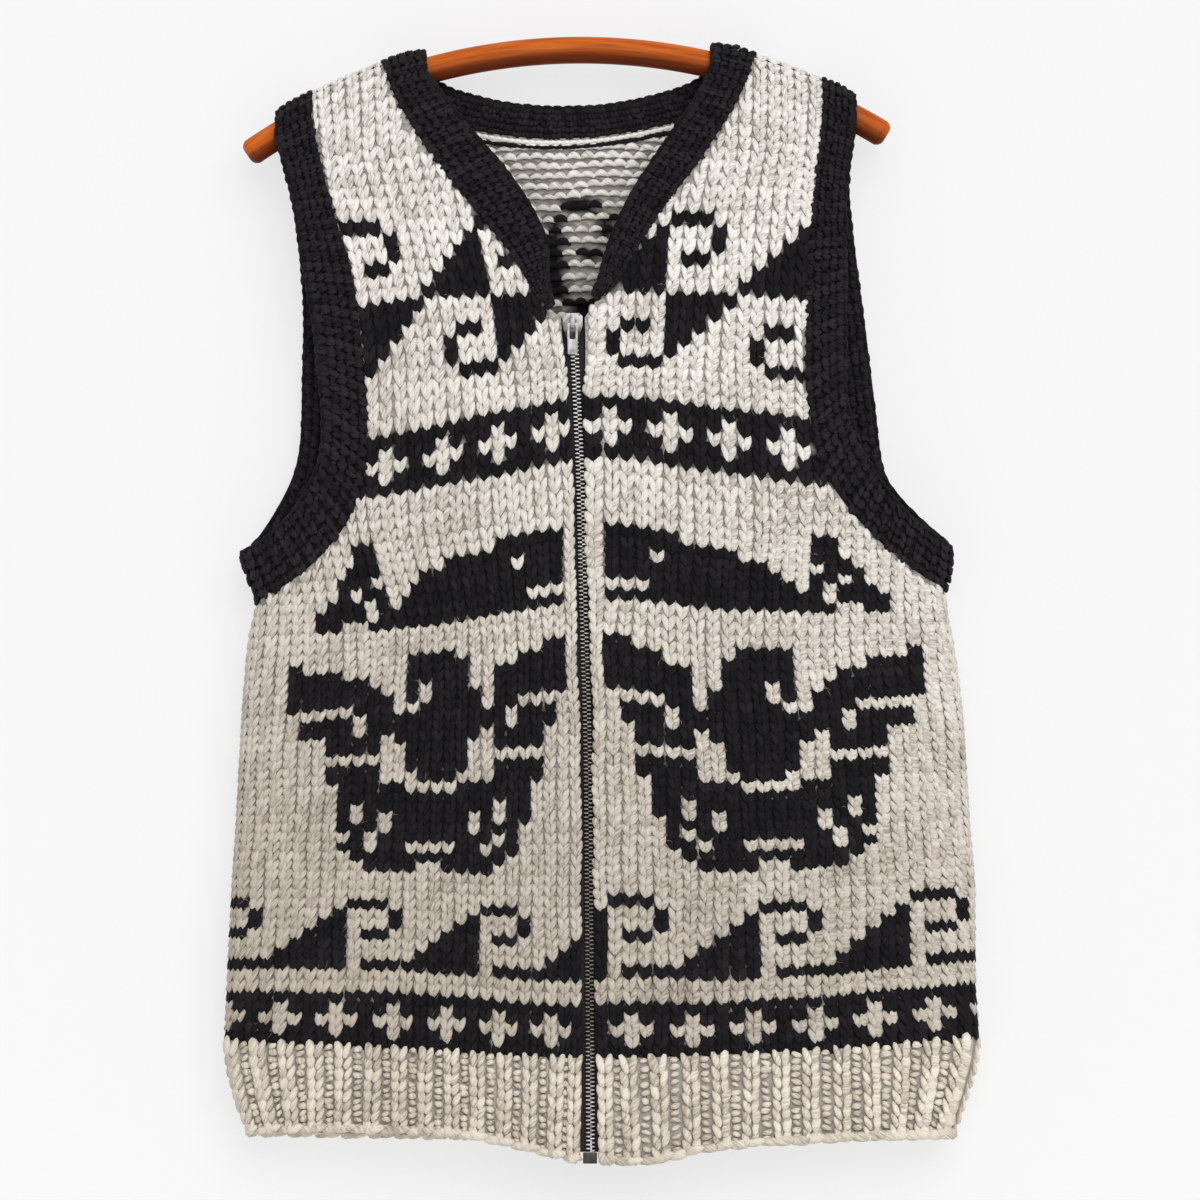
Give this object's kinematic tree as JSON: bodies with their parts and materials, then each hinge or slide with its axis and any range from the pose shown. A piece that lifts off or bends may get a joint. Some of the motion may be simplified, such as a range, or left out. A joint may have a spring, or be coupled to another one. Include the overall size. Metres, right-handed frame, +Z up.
{
  "type": "cowichan vest on a wooden hanger",
  "caption": "Hand-knitted sleeveless zipped vest in thick wool with dark ribbed bands, hanging from an arched wooden dowel hanger.",
  "frame": {"origin": "top of the hanger's dowel, at its middle, where a hook or rod would hold it", "axes": "+X to the right as the front is seen, +Y from the front to the back, +Z up"},
  "size_m": [0.5054, 0.0586, 0.7539],
  "materials": {
    "wool_light": "matte, thick soft-twisted wool, stocking stitch and rib",
    "wool_black": "matte, thick soft-twisted charcoal wool, ribbed bands",
    "zip_tape": "matte woven tape",
    "nickel": "satin nickel",
    "gunmetal": "dark satin",
    "varnished_wood": "satin varnish, orange brown"
  },
  "bodies": {
    "vest": {"hanger": "varnished_wood", "front_left": "wool_light", "front_right": "wool_light", "back": "wool_light", "hem_rib_front_left": "wool_light", "hem_rib_front_right": "wool_light", "hem_rib_back": "wool_light", "armhole_band_left": "wool_black", "armhole_band_right": "wool_black", "neckband": "wool_black", "zip_tape_left": "zip_tape", "zip_tape_right": "zip_tape", "zip_chain": "nickel", "zip_slider": "nickel", "zip_box": "gunmetal"},
    "pull_tab": {"zip_pull_tab": "nickel"}
  },
  "joints": [
    {"name": "pull_tab_hinge", "type": "hinge", "parent": "vest", "child": "pull_tab", "pos_m": [0.00577, -0.02734, -0.19296], "axis": [-1, 0, 0], "range_deg": [0, 170]}
  ]
}
